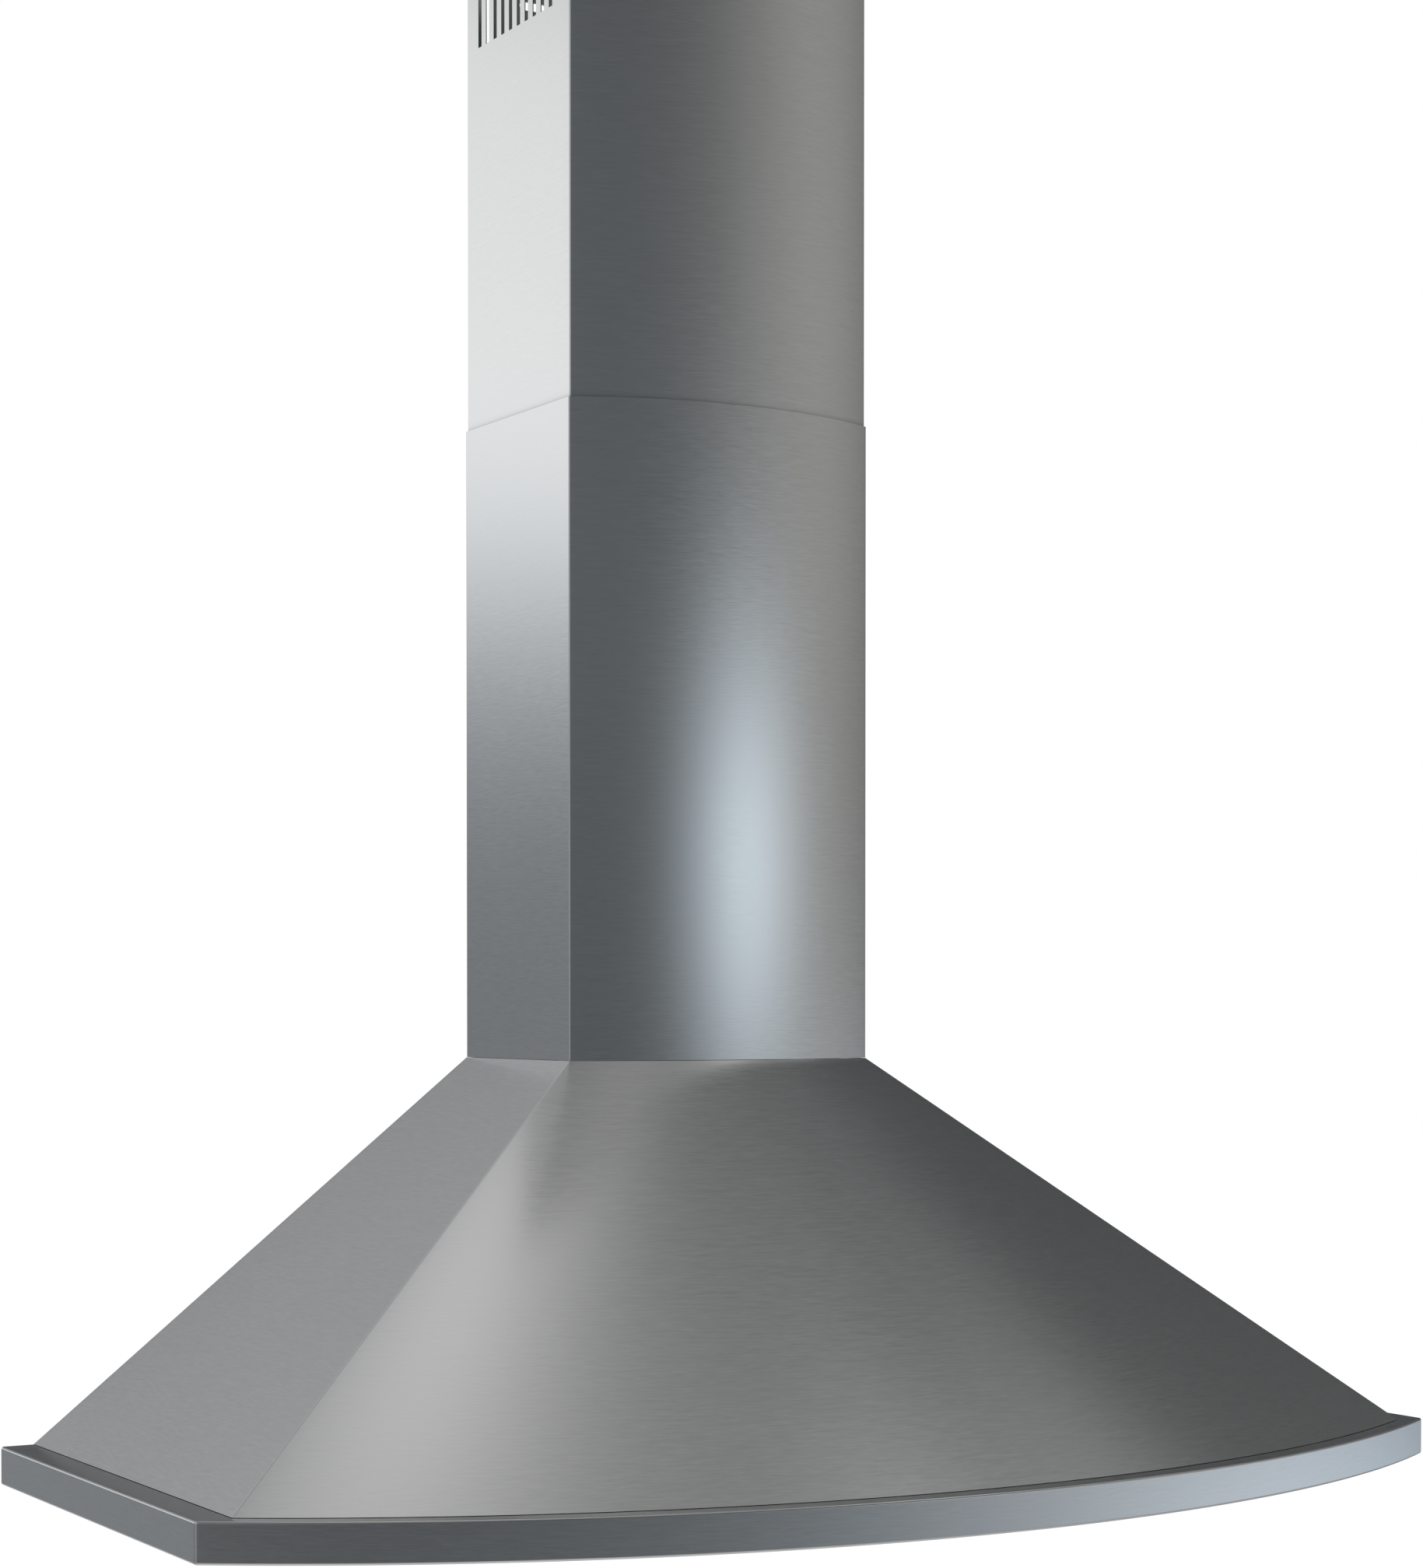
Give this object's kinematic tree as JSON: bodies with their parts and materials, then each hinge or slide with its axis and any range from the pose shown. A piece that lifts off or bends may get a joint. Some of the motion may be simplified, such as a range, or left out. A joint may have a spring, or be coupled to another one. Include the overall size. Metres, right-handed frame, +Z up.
{
  "type": "chimney range hood",
  "caption": "Wall-mounted chimney range hood: bowed rim and sloping canopy, telescoping duct covers, swing-down baffle filters, blower, damper, lamps and push buttons.",
  "frame": {"origin": "on the wall plane at the hood's centre, at the height of the two keyholes that it hangs from", "axes": "+X to the right seen from the front, +Y into the wall, +Z up"},
  "size_m": [1.06, 0.57, 1.25],
  "materials": {
    "brushed_steel": "horizontally brushed stainless steel",
    "liner_steel": "brushed stainless steel, satin",
    "filter_steel": "bright stainless steel baffles",
    "galvanised": "galvanised sheet, matt spangle",
    "bright_steel": "polished steel",
    "motor_paint": "dark motor enamel",
    "dark_plastic": "black moulded plastic",
    "grey_plastic": "grey moulded plastic",
    "button_plastic": "satin grey push button",
    "lead_rubber": "black insulated lead",
    "lens": "frosted lamp glass",
    "board": "green circuit board"
  },
  "bodies": {
    "casing": {"rim_band": "brushed_steel", "canopy_shell": "brushed_steel", "back_panel": "galvanised", "bottom_liner": "liner_steel", "top_frame": "galvanised", "lower_chimney": "brushed_steel", "upper_wall_bracket": "galvanised", "filter_pivot_rod": "bright_steel", "blower_wrap": "galvanised", "blower_side_plate_left": "galvanised", "blower_side_plate_right": "galvanised", "motor": "motor_paint", "motor_bracket": "galvanised", "outlet_transition": "galvanised", "damper_collar": "dark_plastic", "damper_axle": "bright_steel", "junction_box": "galvanised", "junction_box_cover": "galvanised", "cable_gland": "dark_plastic", "capacitor": "grey_plastic", "motor_lead": "lead_rubber", "control_lead": "lead_rubber", "control_panel": "dark_plastic", "control_box": "grey_plastic", "control_board": "board", "chimney_bracket_left": "galvanised", "lamp_housing_left": "bright_steel", "lamp_lens_left": "lens", "chimney_bracket_right": "galvanised", "lamp_housing_right": "bright_steel", "lamp_lens_right": "lens", "filter_magnet_left": "dark_plastic", "filter_magnet_middle": "dark_plastic", "filter_magnet_right": "dark_plastic"},
    "rotor": {"impeller": "grey_plastic", "motor_shaft": "bright_steel"},
    "upper_cover": {"upper_chimney": "brushed_steel", "upper_chimney_screw_left": "bright_steel", "upper_chimney_screw_right": "bright_steel"},
    "flap_front": {"damper_flap_front": "dark_plastic"},
    "flap_rear": {"damper_flap_rear": "dark_plastic"},
    "filter_left": {"filter_frame_left": "filter_steel", "filter_lower_baffles_left": "filter_steel", "filter_upper_baffles_left": "filter_steel", "filter_handle_left": "bright_steel"},
    "filter_middle": {"filter_frame_middle": "filter_steel", "filter_lower_baffles_middle": "filter_steel", "filter_upper_baffles_middle": "filter_steel", "filter_handle_middle": "bright_steel"},
    "filter_right": {"filter_frame_right": "filter_steel", "filter_lower_baffles_right": "filter_steel", "filter_upper_baffles_right": "filter_steel", "filter_handle_right": "bright_steel"},
    "press_power": {"button_power": "button_plastic"},
    "press_low": {"button_low": "button_plastic"},
    "press_medium": {"button_medium": "button_plastic"},
    "press_high": {"button_high": "button_plastic"},
    "press_light": {"button_light": "button_plastic"}
  },
  "joints": [
    {"name": "rotor_spin", "type": "hinge", "parent": "casing", "child": "rotor", "pos_m": [0, -0.167, -0.072], "axis": [1, 0, 0], "continuous": true},
    {"name": "chimney_slide", "type": "slide", "parent": "casing", "child": "upper_cover", "axis": [0, 0, 1], "range_m": [-0.3, 0]},
    {"name": "flap_front_swing", "type": "hinge", "parent": "casing", "child": "flap_front", "pos_m": [0, -0.104, 0.138], "axis": [-1, 0, 0], "range_deg": [0, 75]},
    {"name": "flap_rear_swing", "type": "hinge", "parent": "casing", "child": "flap_rear", "pos_m": [0, -0.104, 0.138], "axis": [1, 0, 0], "range_deg": [0, 75]},
    {"name": "filter_left_swing", "type": "hinge", "parent": "casing", "child": "filter_left", "pos_m": [-0.31, -0.034, -0.2417], "axis": [1, 0, 0], "range_deg": [0, 40]},
    {"name": "filter_middle_swing", "type": "hinge", "parent": "casing", "child": "filter_middle", "pos_m": [0, -0.034, -0.2417], "axis": [1, 0, 0], "range_deg": [0, 40]},
    {"name": "filter_right_swing", "type": "hinge", "parent": "casing", "child": "filter_right", "pos_m": [0.31, -0.034, -0.2417], "axis": [1, 0, 0], "range_deg": [0, 40]},
    {"name": "button_power_press", "type": "slide", "parent": "casing", "child": "press_power", "axis": [0, 0, 1], "range_m": [0, 0.0015], "stiffness_N_per_m": 400, "springref_m": -0.002},
    {"name": "button_low_press", "type": "slide", "parent": "casing", "child": "press_low", "axis": [0, 0, 1], "range_m": [0, 0.0015], "stiffness_N_per_m": 400, "springref_m": -0.002},
    {"name": "button_medium_press", "type": "slide", "parent": "casing", "child": "press_medium", "axis": [0, 0, 1], "range_m": [0, 0.0015], "stiffness_N_per_m": 400, "springref_m": -0.002},
    {"name": "button_high_press", "type": "slide", "parent": "casing", "child": "press_high", "axis": [0, 0, 1], "range_m": [0, 0.0015], "stiffness_N_per_m": 400, "springref_m": -0.002},
    {"name": "button_light_press", "type": "slide", "parent": "casing", "child": "press_light", "axis": [0, 0, 1], "range_m": [0, 0.0015], "stiffness_N_per_m": 400, "springref_m": -0.002}
  ]
}
